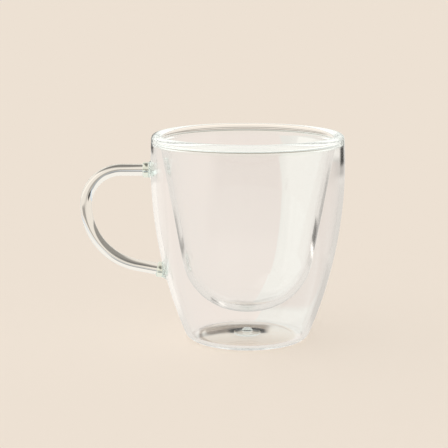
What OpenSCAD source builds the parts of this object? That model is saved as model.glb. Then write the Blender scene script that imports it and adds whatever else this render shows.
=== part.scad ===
// Double walled glass mug: a blown outer wall and a smaller inner cup, fused at the rim around
// a sealed layer of air, with a bent solid glass rod welded on as its handle.
// The mug stands on the XY plane with its axis on Z, and the handle points along -X.

/* [Cup] */
// Height from the table to the crest of the rim
cup_h = 94; // [84:0.5:110]
// Widest outer diameter of the outer wall
body_d = 87.5; // [80:0.5:100]
// Depth of the widest level below the rim crest
belly_drop = 14.5; // [8:0.5:24]
// Radius of the outer wall's curve, seen from the side
side_arc_r = 200; // [160:5:320]
// Radius of the rounded corner between the wall and the foot
foot_corner_r = 5; // [4:0.25:9]

/* [Outer wall] */
// Thickness of the outer wall
outer_wall = 2.1; // [1.4:0.1:2.6]
// Thickness of the base
base_wall = 2; // [1.6:0.1:2.8]
// Width of the flat ring that touches the table
foot_ring_w = 2.6; // [1.5:0.1:4]
// How far the middle of the base is pushed up
push_up = 1.2; // [1:0.1:3]

/* [Inner cup] */
// Thickness of the inner cup's side
liner_wall = 2.3; // [1.6:0.1:2.8]
// Thickness of the inner cup's bottom
liner_base_wall = 2.5; // [2:0.1:3.2]
// Width of the air layer just under the rim
rim_gap = 2; // [1.4:0.1:3]
// Depth of the air layer between the inner cup and the base
floor_gap = 10; // [7:0.25:14]
// Slope of the inner cup's side from upright, in degrees
liner_taper = 10.6; // [9:0.1:12]
// Radius of the inner cup's bottom, a shallow bowl
liner_bowl_r = 40; // [34:0.5:48]
// Distance from the axis at which the bowl turns into the round of the side
liner_bowl_edge = 8.9; // [4:0.1:18]

/* [Rim] */
// Height of the fused rim ring, with its two short legs
rim_h = 5; // [4.6:0.1:6.5]
// Width of the rim's rounded crown
crown_w = 4.8; // [4.4:0.1:5.4]
// Height of the rim's rounded crown
crown_h = 2; // [1.6:0.1:2.6]
// Solid glass between the rim crest and the air layer
rim_solid = 3.1; // [2.4:0.1:3.6]

/* [Vent seal] */
// Diameter of the vent hole in the base
vent_d = 5; // [3:0.25:7]
// Diameter of the melted button that closes the vent
seal_d = 12; // [10:0.25:16]
// Thickness of the button at its rounded edge
seal_edge_t = 0.7; // [0.5:0.05:0.9]
// Height of the drawn-off tip above the floor of the air layer
seal_tip_h = 1.6; // [1:0.1:3]

/* [Handle] */
// Diameter of the glass rod
rod_d = 5.3; // [4.6:0.1:7]
// How much the rod thickens where it was softened to start a bend
bend_swell = 0.05; // [0.02:0.01:0.2]
// Depth of the handle's upper run below the rim crest
handle_drop = 16.5; // [13:0.1:20]
// Widest finger room between the wall and the rod
finger_gap = 26.8; // [24:0.1:32]
// Radius of the upper bend, along the middle of the rod
upper_bend_r = 16.2; // [13:0.1:19]
// Radius of the lower sweep, along the middle of the rod
lower_bend_r = 28.2; // [24:0.1:31]
// Slope of the handle's lower run, in degrees
lower_slope = 11; // [0:0.5:20]
// Distance between the wall and the end of the plain rod
weld_len = 3.6; // [2.5:0.1:5]
// Diameter of the swollen collar at each weld
collar_d = 7; // [6.2:0.1:9]
// Radius of the fillet where a weld spreads on the wall
weld_fillet_r = 1.4; // [0.8:0.1:2]
// How far a collar bulges over its foot
weld_bulge = 0.1; // [0.05:0.01:0.2]

/* [Hidden] */
$fn = 96;

// Steps along each kind of curve
long_steps = 14;
corner_steps = 8;
small_steps = 6;

// Levels
belly_z = cup_h - belly_drop;
joint_z = cup_h - rim_h;
crown_z = cup_h - crown_h;
cavity_top_z = cup_h - rim_solid;

// Points are [radius, height] in the cup's half section.
function arc(c, r, a0, a1, n) =
    [for (i = [0:n]) let (a = a0 + (a1 - a0) * i / n) c + r * [cos(a), sin(a)]];
function bearing(from, to) = atan2(to[1] - from[1], to[0] - from[0]);
// Radius, at a given height, of an arc around c that bulges outwards
function arc_x(c, r, z) = c[0] + sqrt(r * r - (z - c[1]) * (z - c[1]));

// Outer wall: one long arc, and a rounded corner tangent to it and to the table
side_c = [body_d / 2 - side_arc_r, belly_z];
shell_inner_r = side_arc_r - outer_wall;
function corner_centre(side_r, corner_r, floor_z) =
    let (rise = belly_z - floor_z - corner_r, run = side_r - corner_r)
    [side_c[0] + sqrt(run * run - rise * rise), floor_z + corner_r];
foot_c = corner_centre(side_arc_r, foot_corner_r, 0);
inner_corner_r = foot_corner_r - outer_wall;
inner_corner_c = corner_centre(shell_inner_r, inner_corner_r, base_wall);
function outer_r(z) = arc_x(side_c, side_arc_r, z);
function shell_bore_r(z) = arc_x(side_c, shell_inner_r, z);

// Pushed-up base: one shallow arc below, and the same arc one base wall higher
push_edge_r = foot_c[0] - foot_ring_w;
push_arc_r = (push_edge_r * push_edge_r + push_up * push_up) / (2 * push_up);
function push_z(r) = push_up - push_arc_r + sqrt(push_arc_r * push_arc_r - r * r);
function push_line(r0, r1, lift, n) =
    [for (i = [0:n]) let (r = r0 + (r1 - r0) * i / n) [r, push_z(r) + lift]];

// Inner cup: a straight side, a knee and a bowl, all tangent, outside and inside
liner_top = [shell_bore_r(joint_z) - rim_gap, joint_z];
mouth_top = liner_top - [liner_wall / cos(liner_taper), 0];
bowl_c = [0, base_wall + push_up + floor_gap + liner_bowl_r];
mouth_bowl_r = liner_bowl_r - liner_base_wall;
side_out = [cos(liner_taper), -sin(liner_taper)];
side_down = [-sin(liner_taper), -cos(liner_taper)];
// The knee touches the bowl where it ends, and the straight side
edge_a = asin(liner_bowl_edge / liner_bowl_r);
edge_way = [sin(edge_a), -cos(edge_a)];
edge_share = edge_way * side_out;
liner_knee_r = ((liner_top - bowl_c) * side_out - liner_bowl_r * edge_share) / (1 - edge_share);
mouth_knee_r = liner_knee_r - liner_wall;
// Centre of the knee that touches the bowl and the straight side that ends at top
function knee_centre(top, knee_r, bowl_r) =
    let (across = (top - bowl_c) * side_out - knee_r, span = bowl_r - knee_r)
    bowl_c + across * side_out + sqrt(span * span - across * across) * side_down;
liner_knee_c = knee_centre(liner_top, liner_knee_r, liner_bowl_r);
mouth_knee_c = knee_centre(mouth_top, mouth_knee_r, mouth_bowl_r);

// Rim: a crown half as an ellipse, an arch over the air layer, and a flare inside
crown_mid_r = outer_r(crown_z) - crown_w / 2;
crown_edge_r = crown_mid_r - crown_w / 2;
arch_mid_r = (liner_top[0] + shell_bore_r(joint_z)) / 2;
function ellipse_arc(c, rx, rz, a0, a1, n) =
    [for (i = [0:n]) let (a = a0 + (a1 - a0) * i / n) c + [rx * cos(a), rz * sin(a)]];
// Curve from the crown, upright there, to the inner cup's mouth, along the mouth's slope
function flare(p0, p3, n) =
    let (pull = (p0[1] - p3[1]) / 2, p1 = p0 - [0, pull], p2 = p3 - pull * side_down)
    [for (i = [0:n]) let (t = i / n, s = 1 - t)
        s * s * s * p0 + 3 * s * s * t * p1 + 3 * s * t * t * p2 + t * t * t * p3];

// Handle, in the XZ plane, with x measured from the cup's axis towards the handle
rod_r = rod_d / 2;
collar_r = collar_d / 2;
top_z = cup_h - handle_drop;
upper_start_x = outer_r(top_z) + weld_len;
grip_x = outer_r(top_z) + finger_gap + rod_r;
upper_bend_c = [grip_x - upper_bend_r, top_z - upper_bend_r];
lower_bend_c = [grip_x - lower_bend_r, upper_bend_c[1]];
lower_turn = 90 - lower_slope;
lower_run_start = lower_bend_c + lower_bend_r * [cos(lower_turn), -sin(lower_turn)];
lower_way = [-cos(lower_slope), -sin(lower_slope)];
// Where the middle of the lower run meets the outer wall
wall_miss = lower_run_start - side_c;
wall_near = wall_miss * lower_way;
lower_reach = -wall_near - sqrt(wall_near * wall_near - wall_miss * wall_miss
    + side_arc_r * side_arc_r);
lower_run_len = lower_reach - weld_len;
lower_seat = lower_run_start + lower_reach * lower_way;
upper_seat = [outer_r(top_z), top_z];

module outer_profile() {
    polygon(concat(
        [[0, 0], [foot_c[0], 0]],
        arc(foot_c, foot_corner_r, -90, bearing(side_c, foot_c), corner_steps),
        arc(side_c, side_arc_r, bearing(side_c, foot_c), bearing(side_c, [outer_r(joint_z), joint_z]),
            long_steps),
        [[0, joint_z]]
    ));
}

module outer_shell() {
    low_a = bearing(side_c, inner_corner_c);
    color([0.86, 0.93, 0.92, 0.45])
    rotate_extrude()
    polygon(concat(
        push_line(vent_d / 2, push_edge_r, 0, small_steps),
        arc(foot_c, foot_corner_r, -90, bearing(side_c, foot_c), corner_steps),
        arc(side_c, side_arc_r, bearing(side_c, foot_c), bearing(side_c, [outer_r(joint_z), joint_z]),
            long_steps),
        arc(side_c, shell_inner_r, bearing(side_c, [shell_bore_r(joint_z), joint_z]), low_a,
            long_steps),
        arc(inner_corner_c, inner_corner_r, low_a, -90, corner_steps),
        push_line(push_edge_r, vent_d / 2, base_wall, small_steps)
    ));
}

module inner_cup() {
    color([0.88, 0.93, 0.95, 0.45])
    rotate_extrude()
    polygon(concat(
        arc(bowl_c, liner_bowl_r, -90, bearing(bowl_c, liner_knee_c), corner_steps),
        arc(liner_knee_c, liner_knee_r, bearing(bowl_c, liner_knee_c), -liner_taper, long_steps),
        [liner_top, mouth_top],
        arc(mouth_knee_c, mouth_knee_r, -liner_taper, bearing(bowl_c, mouth_knee_c), long_steps),
        arc(bowl_c, mouth_bowl_r, bearing(bowl_c, mouth_knee_c), -90, corner_steps)
    ));
}

module rim_bead() {
    color([0.84, 0.94, 0.88, 0.55])
    rotate_extrude()
    polygon(concat(
        [for (i = [0:small_steps]) let (z = joint_z + (crown_z - joint_z) * i / small_steps)
            [outer_r(z), z]],
        ellipse_arc([crown_mid_r, crown_z], crown_w / 2, crown_h, 0, 180, 2 * corner_steps),
        flare([crown_edge_r, crown_z], mouth_top, corner_steps),
        ellipse_arc([arch_mid_r, joint_z], rim_gap / 2, cavity_top_z - joint_z, 180, 0,
            2 * small_steps)
    ));
}

// Turns the handle's own plane, x outwards and y up, to stand along -X
module handle_plane() {
    rotate([90, 0, 180])
    children();
}

module rod_bend(centre, bend_r, from, turn) {
    translate(centre)
    rotate(from)
    rotate_extrude(angle = turn)
    translate([bend_r, 0])
    circle(r = rod_r);
}

module rod_run(start, way, len) {
    translate(start)
    rotate(way)
    rotate([0, 90, 0])
    cylinder(r = rod_r, h = len);
}

// The rod is a little thicker where it was softened, with the sphere's poles inside the rod
module bend_start(place, way) {
    translate(place)
    rotate(way)
    rotate([0, 90, 0])
    sphere(r = rod_r + bend_swell);
}

module handle_rod() {
    color([0.85, 0.93, 0.94, 0.6])
    handle_plane()
    union() {
        rod_run([upper_start_x, top_z], 0, upper_bend_c[0] - upper_start_x);
        rod_bend(upper_bend_c, upper_bend_r, 0, 90);
        rod_bend(lower_bend_c, lower_bend_r, -lower_turn, lower_turn);
        rod_run(lower_run_start, 180 + lower_slope, lower_run_len);
        bend_start([upper_bend_c[0], top_z], 0);
        bend_start([grip_x, upper_bend_c[1]], 90);
        bend_start(lower_run_start, lower_slope);
    }
}

// Places a solid of revolution, drawn as [length, radius], with its length along way from seat
module along(seat, way) {
    handle_plane()
    translate(seat)
    rotate(way)
    rotate([0, 90, 0])
    rotate_extrude()
    rotate(90)
    mirror([0, 1])
    children();
}

// Foot that spreads on the wall, from inside it up to the middle of the collar's round end
module weld_foot() {
    neck_r = collar_r - weld_bulge;
    polygon(concat(
        [[-weld_len, 0], [-weld_len, neck_r + weld_fillet_r]],
        arc([weld_fillet_r, neck_r + weld_fillet_r], weld_fillet_r, 180, 270, corner_steps),
        [[weld_fillet_r, 0]]
    ));
}

// Collar with a round end in the foot, and its other edge rounded down to the rod
module weld_collar(heart) {
    swell = collar_r - rod_r;
    polygon(concat(
        arc([heart, 0], collar_r, 180, 90, corner_steps),
        arc([weld_len - swell, rod_r], swell, 90, 0, small_steps),
        [[weld_len, 0]]
    ));
}

// The collar follows the rod from seat, and the foot stands square to the wall
module handle_weld(seat, rod_way) {
    way = [cos(rod_way), sin(rod_way)];
    wall_way = bearing(side_c, seat + weld_fillet_r * way);
    wall_out = [cos(wall_way), sin(wall_way)];
    heart = weld_fillet_r / (way * wall_out);
    foot_seat = seat + heart * way - weld_fillet_r * wall_out;
    difference() {
        union() {
            along(foot_seat, wall_way)
            weld_foot();
            along(seat, rod_way)
            weld_collar(heart);
        }
        rotate_extrude()
        outer_profile();
    }
}

module upper_handle_weld() {
    color([0.82, 0.93, 0.84, 0.7])
    handle_weld(upper_seat, 0);
}

module lower_handle_weld() {
    color([0.82, 0.93, 0.84, 0.7])
    handle_weld(lower_seat, lower_slope);
}

module base_seal() {
    stem_r = vent_d / 2;
    edge_r = seal_edge_t / 2;
    seal_r = seal_d / 2 - edge_r;
    edge_z = push_z(seal_r) - edge_r;
    color([0.84, 0.92, 0.9, 0.6])
    rotate_extrude()
    polygon(concat(
        [[0, edge_z - edge_r], [seal_r, edge_z - edge_r]],
        arc([seal_r, edge_z], edge_r, -90, 90, small_steps),
        push_line(seal_r, stem_r, 0, small_steps),
        ellipse_arc([0, push_z(stem_r) + base_wall], stem_r, seal_tip_h, 0, 90, corner_steps)
    ));
}

outer_shell();
inner_cup();
rim_bead();
handle_rod();
upper_handle_weld();
lower_handle_weld();
base_seal();
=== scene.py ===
import math
import bmesh
import bpy
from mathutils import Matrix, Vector


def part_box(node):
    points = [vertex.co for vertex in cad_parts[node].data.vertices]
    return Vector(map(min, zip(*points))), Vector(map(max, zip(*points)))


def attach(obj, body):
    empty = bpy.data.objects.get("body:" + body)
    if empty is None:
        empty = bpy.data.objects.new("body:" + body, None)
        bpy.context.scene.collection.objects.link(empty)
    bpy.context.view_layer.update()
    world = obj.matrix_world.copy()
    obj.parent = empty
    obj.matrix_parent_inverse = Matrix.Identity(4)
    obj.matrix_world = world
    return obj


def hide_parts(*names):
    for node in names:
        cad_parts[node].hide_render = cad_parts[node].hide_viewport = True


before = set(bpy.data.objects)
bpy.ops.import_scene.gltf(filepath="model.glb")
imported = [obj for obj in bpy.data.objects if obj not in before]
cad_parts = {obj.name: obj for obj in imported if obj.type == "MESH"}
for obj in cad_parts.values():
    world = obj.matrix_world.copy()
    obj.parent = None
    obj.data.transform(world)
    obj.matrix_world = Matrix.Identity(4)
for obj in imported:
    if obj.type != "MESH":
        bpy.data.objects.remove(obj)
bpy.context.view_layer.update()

# Outer wall
# Borosilicate tube blown into a turned mould and fire-polished: clear, very smooth, and faintly
# streaked along its height. Its foot stands on a flat ring, with the base pushed up inside it.
mm = 0.001
cup_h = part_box("rim_bead")[1].z / mm
joint_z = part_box("rim_bead")[0].z / mm
body_d = 87.5
belly_drop = 14.5
belly_z = cup_h - belly_drop
side_arc_r = 200
foot_corner_r = 5
outer_wall = 2.1
base_wall = 2
foot_ring_w = 2.6
push_up = 1.2
vent_r = 2.5
seal_r = 6
long_step = 1.1
short_step = 0.35
around = 192
side_c = (body_d / 2 - side_arc_r, belly_z)


def bearing(start, end):
    return math.degrees(math.atan2(end[1] - start[1], end[0] - start[0]))


# A line is a list of (radius, height, normal's radius, normal's height), from foot to rim.
def arc(centre, radius, start, end, step, side=1, flat=1.0):
    """Points along an arc, with normals away from its centre, or towards it where side is -1."""
    fewest = 3
    count = max(fewest, math.ceil(abs(math.radians(end - start)) * radius / step))
    line = []
    for i in range(count + 1):
        a = math.radians(start + (end - start) * i / count)
        across, up = math.cos(a), math.sin(a)
        normal = Vector((across, up / flat)).normalized() * side
        line.append((centre[0] + radius * across, centre[1] + radius * flat * up, *normal))
    return line


def corner_centre(side_r, corner_r, floor_z):
    rise = belly_z - floor_z - corner_r
    run = side_r - corner_r
    return side_c[0] + math.sqrt(run * run - rise * rise), floor_z + corner_r


def outer_r(z):
    return side_c[0] + math.sqrt(side_arc_r ** 2 - (z - belly_z) ** 2)


def shell_bore_r(z):
    return side_c[0] + math.sqrt((side_arc_r - outer_wall) ** 2 - (z - belly_z) ** 2)


foot_c = corner_centre(side_arc_r, foot_corner_r, 0)
bore_foot_c = corner_centre(side_arc_r - outer_wall, foot_corner_r - outer_wall, base_wall)
push_edge_r = foot_c[0] - foot_ring_w
push_arc_r = (push_edge_r ** 2 + push_up ** 2) / (2 * push_up)
push_c = (0, push_up - push_arc_r)


def push_angle(r):
    return math.degrees(math.acos(r / push_arc_r))


def add_piece(name, bm):
    """Makes a finished mesh into a piece of the cup."""
    mesh = bpy.data.meshes.new(name)
    bm.to_mesh(mesh)
    bm.free()
    piece = bpy.data.objects.new(name, mesh)
    bpy.context.collection.objects.link(piece)
    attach(piece, "root")
    return piece


def spin(name, lines):
    """Turns lines round the cup's axis into one mesh, whose normals are the lines' own."""
    on_axis = 1e-6
    bm = bmesh.new()
    keep = bm.verts.layers.float_vector.new("glass_normal")
    for line in lines:
        rings = []
        for r, z, across, up in line:
            turns = 1 if r < on_axis else around
            ring = []
            for i in range(turns):
                a = 2 * math.pi * i / around
                vert = bm.verts.new((r * mm * math.cos(a), r * mm * math.sin(a), z * mm))
                vert[keep] = (across * math.cos(a), across * math.sin(a), up) if turns > 1 else (0, 0, up)
                ring.append(vert)
            rings.append(ring)
        for low, high in zip(rings, rings[1:]):
            for i in range(around):
                corners = [low[i % len(low)], low[(i + 1) % len(low)],
                           high[(i + 1) % len(high)], high[i % len(high)]]
                face = bm.faces.new(list(dict.fromkeys(corners)))
                face.smooth = True
                face.normal_update()
                if face.normal.dot(sum((v[keep] for v in corners), Vector())) < 0:
                    face.normal_flip()
    return add_piece(name, bm)


def set_normals(piece):
    """Gives a finished mesh the normals that its points were made with."""
    kept = piece.data.attributes["glass_normal"].data
    piece.data.normals_split_custom_set_from_vertices([item.vector[:] for item in kept])
    piece.data.attributes.remove(piece.data.attributes["glass_normal"])


def linear(hex_colour):
    """An sRGB hex colour as the linear numbers that a shader takes."""
    parts = [int(hex_colour[i:i + 2], 16) / 255 for i in (1, 3, 5)]
    return [c / 12.92 if c <= 0.04045 else ((c + 0.055) / 1.055) ** 2.4 for c in parts] + [1]


def add_node(tree, kind, settings=(), **links):
    """Adds a node, sets its own settings, and links or sets each named or numbered input."""
    node = tree.nodes.new(kind)
    for key, value in dict(settings).items():
        setattr(node, key, value)
    for key, value in links.items():
        socket = node.inputs[int(key[1:])] if key[1:].isdigit() else node.inputs[key.replace("_", " ")]
        if isinstance(value, bpy.types.NodeSocket):
            tree.links.new(value, socket)
        else:
            socket.default_value = value
    return node


def clear_glass(name, tint, streak_w, streak_l, wave):
    """Borosilicate glass, worked hot: clear, mirror smooth, with faint waves where it flowed."""
    glass = bpy.data.materials.new(name)
    glass.use_nodes = True
    tree = glass.node_tree
    shader = tree.nodes["Principled BSDF"]
    shader.inputs["Base Color"].default_value = linear(tint)
    shader.inputs["Transmission Weight"].default_value = 1
    shader.inputs["IOR"].default_value = 1.47
    place = add_node(tree, "ShaderNodeTexCoord")
    spread = add_node(tree, "ShaderNodeMapping", Vector=place.outputs["Object"],
                      Scale=(1 / (streak_w * mm), 1 / (streak_w * mm), 1 / (streak_l * mm)))
    flow = add_node(tree, "ShaderNodeTexNoise", Vector=spread.outputs["Vector"],
                    Scale=1.0, Detail=2.0, Roughness=0.45)
    bump = add_node(tree, "ShaderNodeBump", Height=flow.outputs["Fac"],
                    Strength=1.0, Distance=wave * mm)
    polish = add_node(tree, "ShaderNodeMapRange", Value=flow.outputs["Fac"],
                      To_Min=0.0, To_Max=0.012)
    tree.links.new(bump.outputs["Normal"], shader.inputs["Normal"])
    tree.links.new(polish.outputs["Result"], shader.inputs["Roughness"])
    return glass


wall_outside = (
    arc(push_c, push_arc_r, push_angle(seal_r), push_angle(push_edge_r), long_step, -1)[:-1]
    + [(push_edge_r, 0, 0, -1), (push_edge_r + foot_ring_w / 2, 0, 0, -1)]
    + arc(foot_c, foot_corner_r, -90, bearing(side_c, foot_c), short_step)
    + arc(side_c, side_arc_r, bearing(side_c, foot_c),
          bearing(side_c, (outer_r(joint_z), joint_z)), long_step)[1:]
)
low_bearing = bearing(side_c, bore_foot_c)
raised = (push_c[0], push_c[1] + base_wall)
wall_inside = (
    arc(raised, push_arc_r, push_angle(vent_r), push_angle(push_edge_r), long_step)[:-1]
    + [(push_edge_r, base_wall, 0, 1)]
    + arc(bore_foot_c, foot_corner_r - outer_wall, -90, low_bearing, short_step, -1)
    + arc(side_c, side_arc_r - outer_wall, low_bearing,
          bearing(side_c, (shell_bore_r(joint_z), joint_z)), long_step, -1)[1:]
)
outer_glass = spin("outer_wall", [wall_outside, wall_inside])
outer_glass.data.materials.append(
    clear_glass("Blown borosilicate glass", "#FFFFFF", streak_w=3, streak_l=40, wave=0.004))
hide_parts("outer_shell")

# Inner cup
# A smaller blown cup with straight sloping sides and a shallow bowl as its bottom. It hangs in
# the outer wall by its rim alone, with the sealed air layer round it.
liner_wall = 2.3
liner_base_wall = 2.5
rim_gap = 2
liner_taper = 10.6
liner_bowl_r = 40
liner_bowl_edge = 8.9
liner_floor_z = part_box("inner_cup")[0].z / mm
slope = math.radians(liner_taper)
liner_top = Vector((shell_bore_r(joint_z) - rim_gap, joint_z))
mouth_top = liner_top - Vector((liner_wall / math.cos(slope), 0))
bowl_c = Vector((0, liner_floor_z + liner_bowl_r))
side_out = Vector((math.cos(slope), -math.sin(slope)))
side_down = Vector((-math.sin(slope), -math.cos(slope)))
edge_a = math.asin(liner_bowl_edge / liner_bowl_r)
edge_share = Vector((math.sin(edge_a), -math.cos(edge_a))).dot(side_out)
liner_knee_r = ((liner_top - bowl_c).dot(side_out) - liner_bowl_r * edge_share) / (1 - edge_share)


def knee_centre(top, knee_r, bowl_r):
    across = (top - bowl_c).dot(side_out) - knee_r
    span = bowl_r - knee_r
    return bowl_c + across * side_out + math.sqrt(span * span - across * across) * side_down


def liner_side(top, knee_r, bowl_r, side):
    """One face of the inner cup, from the middle of its bottom up to top."""
    knee_c = knee_centre(top, knee_r, bowl_r)
    turn = bearing(bowl_c, knee_c)
    foot = knee_c + knee_r * side_out
    count = math.ceil((top - foot).length / long_step)
    straight = [(*foot.lerp(top, i / count), *(side_out * side)) for i in range(1, count + 1)]
    return (arc(bowl_c, bowl_r, -90, turn, long_step, side)
            + arc(knee_c, knee_r, turn, -liner_taper, long_step, side)[1:] + straight)


inner_glass = spin("inner_cup_glass", [
    liner_side(liner_top, liner_knee_r, liner_bowl_r, 1),
    liner_side(mouth_top, liner_knee_r - liner_wall, liner_bowl_r - liner_base_wall, -1)])
inner_glass.data.materials.append(
    clear_glass("Blown liner glass", "#FFFFFF", streak_w=3, streak_l=40, wave=0.004))
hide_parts("inner_cup")

# Rim
# Where the two walls are melted together in a burner: the glass gathers into a rounded bead,
# a little thicker than a wall, and closes the top of the air layer in a small arch.
crown_w = 4.8
crown_h = 2
rim_solid = 3.1
flare_steps = 10
crown_step = short_step / 2
arch_step = short_step / 3
crown_z = cup_h - crown_h
crown_mid_r = outer_r(crown_z) - crown_w / 2
mouth_edge = Vector((crown_mid_r - crown_w / 2, crown_z))
pull = (mouth_edge.y - mouth_top.y) / 2
controls = [mouth_edge, mouth_edge - Vector((0, pull)), mouth_top - side_down * pull, mouth_top]


def flare(points, count):
    """The curve from the crown down into the mouth, with its normals towards the axis."""
    line = []
    for i in range(1, count + 1):
        t = i / count
        row = list(points)
        while len(row) > 2:
            row = [a.lerp(b, t) for a, b in zip(row, row[1:])]
        way = (row[1] - row[0]).normalized()
        line.append((*row[0].lerp(row[1], t), way.y, -way.x))
    return line


rim_outside = (
    arc(side_c, side_arc_r, bearing(side_c, (outer_r(joint_z), joint_z)),
        bearing(side_c, (outer_r(crown_z), crown_z)), short_step)[:-1]
    + arc((crown_mid_r, crown_z), crown_w / 2, 0, 180, crown_step, flat=crown_h / (crown_w / 2))
    + flare(controls, flare_steps)
)
rim_inside = arc((liner_top.x + rim_gap / 2, joint_z), rim_gap / 2, 180, 0, arch_step, -1,
                 (cup_h - rim_solid - joint_z) / (rim_gap / 2))
rim_glass = spin("rim_bead_glass", [rim_outside, rim_inside])
rim_glass.data.materials.append(
    clear_glass("Fire-polished rim glass", "#FDFEFD", streak_w=4, streak_l=4, wave=0.004))
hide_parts("rim_bead")

# Vent seal
# The hole in the base, through which the air layer breathed while the rim was hot, is melted
# shut: a flat button below, and a small drawn-off tip that stands up inside.
seal_edge_t = 0.7
seal_tip_h = 1.6
edge_r = seal_edge_t / 2
edge_step = short_step / 3
tip_step = short_step / 2


def push_z(r):
    return push_c[1] + math.sqrt(push_arc_r ** 2 - r * r)


edge_z = push_z(seal_r - edge_r) - edge_r
seal_outside = [(0, edge_z - edge_r, 0, -1)] + arc((seal_r - edge_r, edge_z), edge_r, -90, 90, edge_step)
seal_inside = arc((0, push_z(vent_r) + base_wall), vent_r, 0, 90, tip_step, flat=seal_tip_h / vent_r)
seal_glass = spin("vent_seal_glass", [seal_outside, seal_inside])
seal_glass.data.materials.append(
    clear_glass("Melted seal glass", "#F2F8F4", streak_w=2, streak_l=2, wave=0.02))
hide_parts("base_seal")

# Handle rod
# Solid borosilicate rod, softened in a burner and bent by hand into an ear: a tight bend
# above, a wide sweep below, and a straight run into each weld.
rod_r = 2.65
handle_drop = 16.5
top_z = cup_h - handle_drop
finger_gap = 26.8
upper_bend_r = 16.2
lower_bend_r = 28.2
lower_slope = 11
weld_len = 3.6
rod_step = 0.7
rod_sides = 48
grip_x = outer_r(top_z) + finger_gap + rod_r
upper_c = Vector((grip_x - upper_bend_r, top_z - upper_bend_r))
lower_c = Vector((grip_x - lower_bend_r, upper_c.y))
lower_turn = 90 - lower_slope
lower_way = Vector((-math.cos(math.radians(lower_slope)), -math.sin(math.radians(lower_slope))))
lower_start = lower_c + lower_bend_r * Vector((-lower_way.y, lower_way.x))


def wall_reach(start, way):
    """How far start lies from the outer wall along way, in the handle's plane."""
    miss = start - Vector(side_c)
    near = miss.dot(way)
    return -near - math.sqrt(near * near - miss.dot(miss) + side_arc_r ** 2)


lower_seat = lower_start + wall_reach(lower_start, lower_way) * lower_way
upper_seat = Vector((outer_r(top_z), top_z))


def run(start, end, step):
    way = (end - start).normalized()
    count = math.ceil((end - start).length / step)
    return [(start.lerp(end, i / count), way) for i in range(count + 1)]


def bend(centre, radius, start, end, step):
    count = math.ceil(abs(math.radians(end - start)) * radius / step)
    places = []
    for i in range(count + 1):
        a = math.radians(start + (end - start) * i / count)
        places.append((centre + radius * Vector((math.cos(a), math.sin(a))),
                       Vector((math.sin(a), -math.cos(a)))))
    return places


rod_line = (
    run(upper_seat + Vector((weld_len, 0)), Vector((upper_c.x, top_z)), rod_step)[:-1]
    + bend(upper_c, upper_bend_r, 90, 0, rod_step)[:-1]
    + bend(lower_c, lower_bend_r, 0, -lower_turn, rod_step)[:-1]
    + run(lower_start, lower_seat - weld_len * lower_way, rod_step)
)


def out_there(place, side):
    """A point beside the handle's plane. The handle points along -X."""
    return Vector((-place.x, side, place.y))


def ring_points(place, way, radius):
    """A ring of the rod round place, square to way, with the normals of its points."""
    across = Vector((-way.y, way.x))
    rows = []
    for i in range(rod_sides):
        a = 2 * math.pi * i / rod_sides
        out = math.cos(a) * out_there(across, 0) + Vector((0, math.sin(a), 0))
        rows.append((out_there(place, 0) + radius * out, out))
    return rows


def skin(name, rings):
    """Joins rings of (point, normal) into one open tube."""
    bm = bmesh.new()
    keep = bm.verts.layers.float_vector.new("glass_normal")
    made = []
    for ring in rings:
        row = []
        for point, normal in ring:
            vert = bm.verts.new(point * mm)
            vert[keep] = normal
            row.append(vert)
        made.append(row)
    for low, high in zip(made, made[1:]):
        for i in range(len(low)):
            j = (i + 1) % len(low)
            face = bm.faces.new((low[i], low[j], high[j], high[i]))
            face.smooth = True
            face.normal_update()
            if face.normal.dot(low[i][keep] + high[j][keep]) < 0:
                face.normal_flip()
    return add_piece(name, bm)


rod_glass = skin("handle_rod_glass", [ring_points(place, way, rod_r) for place, way in rod_line])
rod_glass.data.materials.append(
    clear_glass("Drawn rod glass", "#F8FBFA", streak_w=3, streak_l=3, wave=0.004))
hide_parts("handle_rod")

# Handle welds
# Each end of the rod is melted on to the wall: a foot that spreads on the glass, and a swollen
# collar where the rod was pushed in. The thick, reworked glass looks faintly green.
collar_r = 3.5
weld_fillet_r = 1.4
weld_bulge = 0.1
lip_steps = 7
neck_steps = 5
fillet_steps = 12
bare_margin = 0.25
foot_r = collar_r - weld_bulge + weld_fillet_r
near_r = 3 * foot_r


def wall_drop(point, way):
    """How far point lies from the outer wall against way, found by a few Newton steps."""
    newton_steps = 12
    t = 0.0
    for step in range(newton_steps):
        p = point - t * way
        gap = math.hypot(p.x, p.y) - outer_r(p.z)
        grow = (p.x * way.x + p.y * way.y) / math.hypot(p.x, p.y)
        lean = -(p.z - belly_z) / math.sqrt(side_arc_r ** 2 - (p.z - belly_z) ** 2)
        t += gap / (grow - lean * way.z)
    return t


def wall_normal(point):
    """The outer wall's normal at a point on it."""
    out = math.hypot(point.x, point.y)
    lean = (out - side_c[0]) / side_arc_r
    return Vector((point.x / out * lean, point.y / out * lean, (point.z - belly_z) / side_arc_r))


def weld_shape():
    """The weld's (radius, height) rows: the collar's rounded lip, its neck, and the foot's fillet."""
    swell = collar_r - rod_r
    neck_r = collar_r - weld_bulge
    shape = []
    for i in range(lip_steps + 1):
        a = math.radians(90 * i / lip_steps)
        shape.append((rod_r + swell * math.sin(a), weld_len - swell + swell * math.cos(a)))
    for i in range(1, neck_steps):
        s = i / neck_steps
        shape.append((collar_r - weld_bulge * s * s, (weld_len - swell) * (1 - s) + weld_fillet_r * s))
    for i in range(fillet_steps + 1):
        a = math.radians(90 * i / fillet_steps)
        shape.append((neck_r + weld_fillet_r * (1 - math.cos(a)), weld_fillet_r * (1 - math.sin(a))))
    return shape


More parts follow.
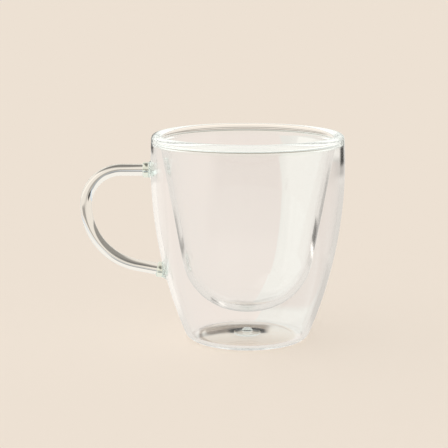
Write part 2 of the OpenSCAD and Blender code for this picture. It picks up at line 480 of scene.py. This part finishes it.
def weld_rings(seat, way):
    """Rings from the rod's end, where they are square to it, to the wall, where they lie in it."""
    straight_h = weld_len - (collar_r - rod_r)
    along = out_there(way, 0)
    across = out_there(Vector((-way.y, way.x)), 0)
    places = []
    for radius, height in weld_shape():
        square = min(1.0, max(0.0, height / straight_h))
        ring = []
        for i in range(rod_sides):
            a = 2 * math.pi * i / rod_sides
            out = math.cos(a) * across + Vector((0, math.sin(a), 0))
            flat = out_there(seat, 0) + radius * out
            drop = wall_drop(flat, along)
            ring.append(flat + along * (height - drop * (1 - square)))
        places.append(ring)
    rings = []
    for j, ring in enumerate(places):
        row = []
        for i, point in enumerate(ring):
            before = places[max(j - 1, 0)][i]
            after = places[min(j + 1, len(places) - 1)][i]
            beside = ring[(i + 1) % rod_sides] - ring[i - 1]
            normal = beside.cross(after - before).normalized()
            if normal.dot(point - out_there(seat, 0) - along * weld_len) < 0:
                normal = -normal
            row.append((point, wall_normal(point) if j == len(places) - 1 else normal))
        rings.append(row)
    return rings


def open_wall(seat, way, rings):
    """Takes the wall's own skin away under a weld's foot, and joins the rest to the foot's edge."""
    bm = bmesh.new()
    bm.from_mesh(outer_glass.data)
    keep = bm.verts.layers.float_vector["glass_normal"]
    along = out_there(way, 0)
    middle = out_there(seat, 0)

    def under(vert):
        off = vert.co / mm - middle
        outside = math.hypot(vert.co.x, vert.co.y) / mm > outer_r(vert.co.z / mm) - outer_wall / 2
        beside = (off - off.dot(along) * along).length
        return outside and off.length < near_r and beside < foot_r + bare_margin

    gone = [face for face in bm.faces if any(under(vert) for vert in face.verts)]
    edge_of = {edge for face in gone for edge in face.edges}
    rim = [edge for edge in edge_of if not all(face in gone for face in edge.link_faces)]
    bmesh.ops.delete(bm, geom=gone, context="FACES")
    foot = []
    for point, normal in rings[-1]:
        vert = bm.verts.new(point * mm)
        vert[keep] = normal
        foot.append(vert)
    loop = [bm.edges.new((foot[i - 1], foot[i])) for i in range(len(foot))]
    made = bmesh.ops.bridge_loops(bm, edges=[e for e in rim if e.is_valid] + loop)
    for face in made["faces"]:
        face.smooth = True
        face.normal_update()
        if face.normal.dot(wall_normal(face.calc_center_median() / mm)) < 0:
            face.normal_flip()
    bm.to_mesh(outer_glass.data)
    bm.free()


weld_material = clear_glass("Reworked weld glass", "#EAF4EC", streak_w=1.5, streak_l=1.5, wave=0.03)
for name, node, seat, way in (
        ("upper_weld_glass", "upper_handle_weld", upper_seat, Vector((1, 0))),
        ("lower_weld_glass", "lower_handle_weld", lower_seat, -lower_way)):
    rings = weld_rings(seat, way)
    open_wall(seat, way, rings)
    weld = skin(name, rings)
    weld.data.materials.append(weld_material)
    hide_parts(node)
    set_normals(weld)
for piece in (outer_glass, inner_glass, rim_glass, seal_glass, rod_glass):
    set_normals(piece)

# Table and backdrop
# A plain warm paper sweep, bare to the camera. Seen only through the glass, it glows with painted
# light and painted shade in place of a studio out of the frame: a painted pale patch behind the cup
# on the right, the light of a wide softbox on the left, and painted dark patches that draw the
# glass's edges, each at a fixed place and told apart by the light's way through the glass. They are
# painted reflections and painted shade in the glass.
paper = "#EDE1D3"
table_half = 20
below_foot = 0.00005
floor_mesh = bpy.data.meshes.new("table")
corners = [(x * table_half, y * table_half, 0) for x, y in ((-1, -1), (1, -1), (1, 1), (-1, 1))]
floor_mesh.from_pydata(corners, [], [(0, 1, 2, 3)])
floor = bpy.data.objects.new("table", floor_mesh)
bpy.context.collection.objects.link(floor)
floor.location.z = -below_foot


def maths(tree, operation, *values):
    """The result of one maths node."""
    inputs = {f"_{i}": value for i, value in enumerate(values)}
    return add_node(tree, "ShaderNodeMath", {"operation": operation}, **inputs).outputs["Value"]


def mix(tree, share, start, end):
    """A colour that goes from start to end as share goes from 0 to 1."""
    return add_node(tree, "ShaderNodeMix", {"data_type": "RGBA"}, _0=share, _6=start, _7=end).outputs[2]


def times(tree, start, factor):
    """A colour, as hex or from a socket, or a place, times a number."""
    start = linear(start)[:3] if isinstance(start, str) else start
    return add_node(tree, "ShaderNodeVectorMath", {"operation": "SCALE"},
                    _0=start, _3=factor).outputs["Vector"]


def between(tree, value, low, high, soft):
    """1 where value lies between low and high, and 0 outside, with soft edges."""
    edges = [add_node(tree, "ShaderNodeMapRange", {"interpolation_type": "SMOOTHSTEP"}, Value=value,
                      From_Min=start, From_Max=end).outputs["Result"]
             for start, end in ((low - soft, low + soft), (high + soft, high - soft))]
    return maths(tree, "MULTIPLY", *edges)


def turned(tree, angle, low, high, soft):
    """1 where an angle lies between two bearings in degrees, and 0 outside, with soft edges."""
    return between(tree, angle, *(math.radians(edge) for edge in (low, high, soft)))


def shade(tree, base, changes):
    """A brightness: base, moved by each (target, mask, mask) to its target where its masks are 1."""
    level = base
    for target, *masks in changes:
        mask = masks[0]
        for other in masks[1:]:
            mask = maths(tree, "MULTIPLY", mask, other)
        level = add_node(tree, "ShaderNodeMix", {"data_type": "FLOAT"},
                         _0=mask, _2=level, _3=target).outputs["Result"]
    return level


def compass(tree, place):
    """A place's parts, and its bearings from the right, which is +X, and from the left."""
    ahead = add_node(tree, "ShaderNodeSeparateXYZ", Vector=place).outputs
    back = add_node(tree, "ShaderNodeSeparateXYZ", Vector=times(tree, place, -1.0)).outputs
    return (ahead, maths(tree, "ARCTAN2", ahead["Y"], ahead["X"]),
            maths(tree, "ARCTAN2", back["Y"], back["X"]))


# Counts of faces that light came through: the rod and each wall have two
at_least_one = 0.5
rod_faces = 2.5
rim_faces = (5.5, 6.5)
rim_soft = 0.2
liner_faces = 6.5
# Painted light in the rim, for light mirrored many times inside it: after how many turns, and
# the fixed brightness painted from then on, dark after a few turns and white after many
painted_rim_light = ((3.5, 0.4), (24.5, 1.18))
trapped_blue_share = 0.95


def by_path(tree, in_frame, straight, rod, mirrored):
    """Colours by how light came: not through glass, straight through walls, through two faces only
    as in the rod, or mirrored on the way. Light through five to seven faces, as in the rim, is
    painted near white, a painted highlight. Light mirrored a few times in the rim is painted dark,
    and after many turns it is painted white. Says first where glass was on the way."""
    path = add_node(tree, "ShaderNodeLightPath").outputs
    crossed, mirrors = path["Transmission Depth"], path["Glossy Depth"]
    seen = mix(tree, maths(tree, "GREATER_THAN", crossed, rod_faces), rod, straight)
    # A painted near-white highlight for light through five to seven faces, as in the rim
    seen = mix(tree, between(tree, crossed, *rim_faces, rim_soft), seen, linear("#FFFDF6"))
    seen = mix(tree, maths(tree, "GREATER_THAN", mirrors, at_least_one), seen, mirrored)
    # Painted shade and painted highlight in the rim: a fixed grey for light mirrored past each count of
    # turns
    for turns, grey in painted_rim_light:
        trapped = maths(tree, "GREATER_THAN", mirrors, turns)
        seen = mix(tree, trapped, seen, (grey, grey, grey * trapped_blue_share, 1))
    any_glass = maths(tree, "GREATER_THAN", maths(tree, "ADD", crossed, mirrors), at_least_one)
    no_paper = maths(tree, "LESS_THAN", path["Diffuse Depth"], at_least_one)
    in_glass = maths(tree, "MULTIPLY", any_glass, no_paper)
    return in_glass, mix(tree, in_glass, in_frame, seen)


paper_material = bpy.data.materials.new("Matt paper with painted reflections")
paper_material.use_nodes = True
table = paper_material.node_tree
matt = table.nodes["Principled BSDF"]
matt.inputs["Base Color"].default_value = linear(paper)
matt.inputs["Roughness"].default_value = 1
matt.inputs["Specular IOR Level"].default_value = 0
spot = add_node(table, "ShaderNodeNewGeometry").outputs["Position"]
here, from_right, from_left = compass(table, spot)
reach = add_node(table, "ShaderNodeVectorMath", {"operation": "LENGTH"}, Vector=spot).outputs["Value"]
crossed = add_node(table, "ShaderNodeLightPath").outputs["Transmission Depth"]
few = maths(table, "LESS_THAN", crossed, rod_faces)
walls = maths(table, "GREATER_THAN", crossed, rod_faces)
four_walls = maths(table, "GREATER_THAN", crossed, liner_faces)
two_walls = maths(table, "SUBTRACT", 1.0, four_walls)
far = 90


def painted_patch(level, through, bearings, reaches, soft_turn, soft_reach):
    """A patch painted on the table at a given level, dark for painted shade and bright for a painted
    reflection, seen only by light that came through so many faces of glass. Bearings in degrees
    are from the right, and reaches in metres from the cup's axis."""
    return (level, through, turned(table, from_right, *bearings, soft_turn),
            between(table, reach, *reaches, soft_reach))


# Mirrored on the way, painted reflections: a dimmer table in front, painted dark patches that
# shade the outer wall's edges, and those that draw the inner cup's painted dark lines and its
# painted white patch
mirrored_table = shade(table, 0.82, [
    (0.5, turned(table, from_left, 44, 132, 6), between(table, reach, 0.155, far, 0.035)),
    painted_patch(0.99, few, (98, 165), (0.05, 0.45), 6, 0.015),
    painted_patch(0.68, few, (10, 58), (0.036, 0.13), 6, 0.01),
    painted_patch(0.74, few, (22, 72), (0.13, 0.45), 6, 0.05),
    painted_patch(0.5, few, (30, 67), (0.5, 0.75), 4, 0.04),
    painted_patch(0.05, few, (50, 67), (0.6, far), 3, 0.035),
    painted_patch(0.05, few, (94, 118), (0.7, far), 2, 0.03),
    painted_patch(0.03, walls, (38, 60), (0.164, 0.207), 2.5, 0.0035),
    painted_patch(0.35, walls, (52, 68), (0.2, 0.4), 3, 0.05),
    painted_patch(0.72, walls, (36, 62), (0.12, 0.153), 3, 0.004),
    painted_patch(1.8, walls, (41, 62), (0.151, 0.1625), 2, 0.0012),
    painted_patch(0.3, walls, (107, 123), (0.165, 0.265), 3, 0.02),
    painted_patch(0.3, walls, (120, 139), (0.149, 0.172), 3, 0.006),
    painted_patch(0.2, walls, (140, 158), (0.023, 0.031), 4, 0.0015),
    painted_patch(1.3, walls, (135, 165), (0.0165, 0.0205), 4, 0.001),
    (0.45, walls, turned(table, from_left, 55, 125, 8), between(table, reach, 0.0065, 0.0115, 0.001)),
])

# Straight through the walls: a painted pale patch with its long straight edge, standing in for a
# bright reflection in the inner cup, painted greyer shade beside the inner cup, painted brighter
# patches on the right, and painted shade under the base, darker and warmer, with a painted dark
# band that slants across it and a painted dark spot
edge_lean = -0.1274
band_lean = 0.82
pale_edge_line = maths(table, "MULTIPLY_ADD", reach, edge_lean, from_right)
# The painted pale patch, brighter where light came through the inner cup too
painted_pale_side = turned(table, pale_edge_line, 0, 80.35, 0.15)
painted_gap_shade = maths(table, "MULTIPLY", turned(table, from_right, 50, 79, 3), two_walls)
painted_gap_shade = maths(table, "MULTIPLY", painted_gap_shade, between(table, reach, 0.06, 0.6, 0.008))
# Painted shade under the base, where the cup stands on the table
painted_base_shade = between(table, reach, -1, 0.0222, 0.001)
slant = maths(table, "MULTIPLY_ADD", here["X"], band_lean, maths(table, "MULTIPLY", here["Y"], -1.0))
pale_share = maths(table, "SUBTRACT", painted_pale_side, painted_gap_shade)
wall_tint = mix(table, pale_share, linear("#EDE2D9"), linear("#E6E3DB"))
wall_tint = mix(table, painted_base_shade, wall_tint, linear("#F4E2CE"))
through_walls = shade(table, 1.04, [
    (1.14, four_walls, painted_pale_side),
    (0.92, painted_gap_shade),
    (1.2, between(table, reach, 0.6, far, 0.03), turned(table, from_right, 0, 83.7, 0.2)),
    painted_patch(0.8, two_walls, (52, 77), (0.46, 0.64), 4, 0.04),
    painted_patch(1.1, 1.0, (45, 82), (0.024, 0.053), 6, 0.004),
    (0.82, painted_base_shade),
    (0.4, between(table, slant, -0.018, -0.0115, 0.0018), between(table, here["X"], -0.023, -0.006, 0.002)),
    (0.75, between(table, reach, 0.0035, 0.0078, 0.0012)),
    (0.0, between(table, reach, 0.0045, 0.0124, 0.001), between(table, here["Y"], 0.0025, 1, 0.0012),
     between(table, here["X"], -0.0085, 0.0088, 0.0014)),
])

# Through the rod: painted warm near by and bluish far off, with painted dark patches that draw
# its dark bands and one painted bright band
rod_tint = mix(table, between(table, reach, 1.2, far, 0.3), linear("#FFF3E6"), linear("#E6EEF8"))
through_rod = shade(table, 0.92, [
    painted_patch(0.3, 1.0, (111.5, 165), (0.078, 0.2), 3, 0.012),
    painted_patch(0.17, 1.0, (115, 129), (0.1, 0.138), 3, 0.006),
    painted_patch(0.45, 1.0, (96, 107), (0.38, 1.1), 2, 0.05),
    painted_patch(0.5, 1.0, (96, 110), (1.1, far), 1.5, 0.2),
    painted_patch(0.38, 1.0, (76, 98), (0.35, 0.52), 2, 0.03),
    painted_patch(0.05, 1.0, (108, 117), (0.5, 1.3), 1.5, 0.05),
    painted_patch(1.12, 1.0, (60, 109), (0.13, 0.175), 2, 0.01),
])
in_glass, shown = by_path(table, linear(paper), times(table, wall_tint, through_walls),
                          times(table, rod_tint, through_rod),
                          times(table, "#FFF9F1", mirrored_table))
# Where glass is on the way, the table glows with this painted light and painted shade, though it is no lamp
painted_glow = add_node(table, "ShaderNodeEmission", Color=shown)
either = add_node(table, "ShaderNodeMixShader", _0=in_glass, _1=matt.outputs["BSDF"],
                  _2=painted_glow.outputs["Emission"])
table.links.new(either.outputs["Shader"], table.nodes["Material Output"].inputs["Surface"])
paper_material.cycles.emission_sampling = "NONE"
floor_mesh.materials.append(paper_material)

# Room
# Soft white light from all round, brighter on the left, as from a window there. Seen only through
# the glass, the room is painted: a softbox's light on the left and a bright strip at the back as
# painted reflections, painted dark marks that draw shade at the rim's ends and in the rod, and a
# fixed grey for light straight through the walls.
world = bpy.data.worlds.new("studio")
bpy.context.scene.world = world
world.use_nodes = True
sky = world.node_tree
way_out = add_node(sky, "ShaderNodeTexCoord").outputs["Generated"]
ahead, turn_right, turn_left = compass(sky, way_out)
rise = maths(sky, "ARCSINE", ahead["Z"])
path = add_node(sky, "ShaderNodeLightPath").outputs
few = maths(sky, "LESS_THAN", path["Transmission Depth"], rod_faces)
walls = maths(sky, "GREATER_THAN", path["Transmission Depth"], rod_faces)
mirrored_room = shade(sky, 0.75, [
    (1.2, turned(sky, turn_left, -68, 25, 3), turned(sky, rise, -30, 75, 8)),
    (1.0, turned(sky, turn_right, 72, 114, 3), turned(sky, rise, 8, 20, 4)),
    (0.02, walls, turned(sky, turn_right, 85.8, 97.5, 0.8), turned(sky, rise, 6, 16.5, 1.5)),
    (0.05, few, turned(sky, turn_right, 57, 71, 2), turned(sky, rise, -5, 8, 2)),
    (0.05, few, turned(sky, turn_right, 94, 108, 2), turned(sky, rise, -5, 6, 2)),
])
rod_room = shade(sky, 1.0, [
    (0.3, turned(sky, turn_right, 84, 100, 2), turned(sky, rise, -5, 5, 1.5)),
    (0.58, turned(sky, turn_right, 99, 113, 2), turned(sky, rise, -5, 2, 1)),
])
window_gain = -0.5
window_side = maths(sky, "MULTIPLY_ADD", ahead["X"], window_gain, 1.0)
shown = by_path(sky, times(sky, "#FFFFFF", window_side), linear("#A8A090"),
                times(sky, "#FFF7EE", rod_room), times(sky, "#F8FDF8", mirrored_room))[1]
backdrop = mix(sky, path["Is Camera Ray"], shown, linear(paper))
sky.links.new(backdrop, sky.nodes["Background"].inputs["Color"])

# Light runs round inside the rim for dozens of turns before it comes out, and a blurred caustic
# would leave the table too dark.
most_bounces = 400
cycles = bpy.context.scene.cycles
cycles.max_bounces = most_bounces
cycles.transmission_bounces = most_bounces
cycles.glossy_bounces = most_bounces
cycles.blur_glossy = 0

# Camera
# It stands where the picture was taken from: a little left of the cup's axis, looking down at it.
eye = Vector((-10.7, -650.1, 172.3))
look_down = 10.43
view_px = 448
focal_px = 1455.2
sensor_w = 36
camera = bpy.data.objects.new("camera", bpy.data.cameras.new("camera"))
bpy.context.collection.objects.link(camera)
camera.location = eye * mm
camera.rotation_euler = (math.radians(90 - look_down), 0, 0)
camera.data.sensor_width = sensor_w
camera.data.lens = focal_px / view_px * sensor_w
bpy.context.scene.camera = camera
bpy.context.scene.view_settings.view_transform = "Standard"
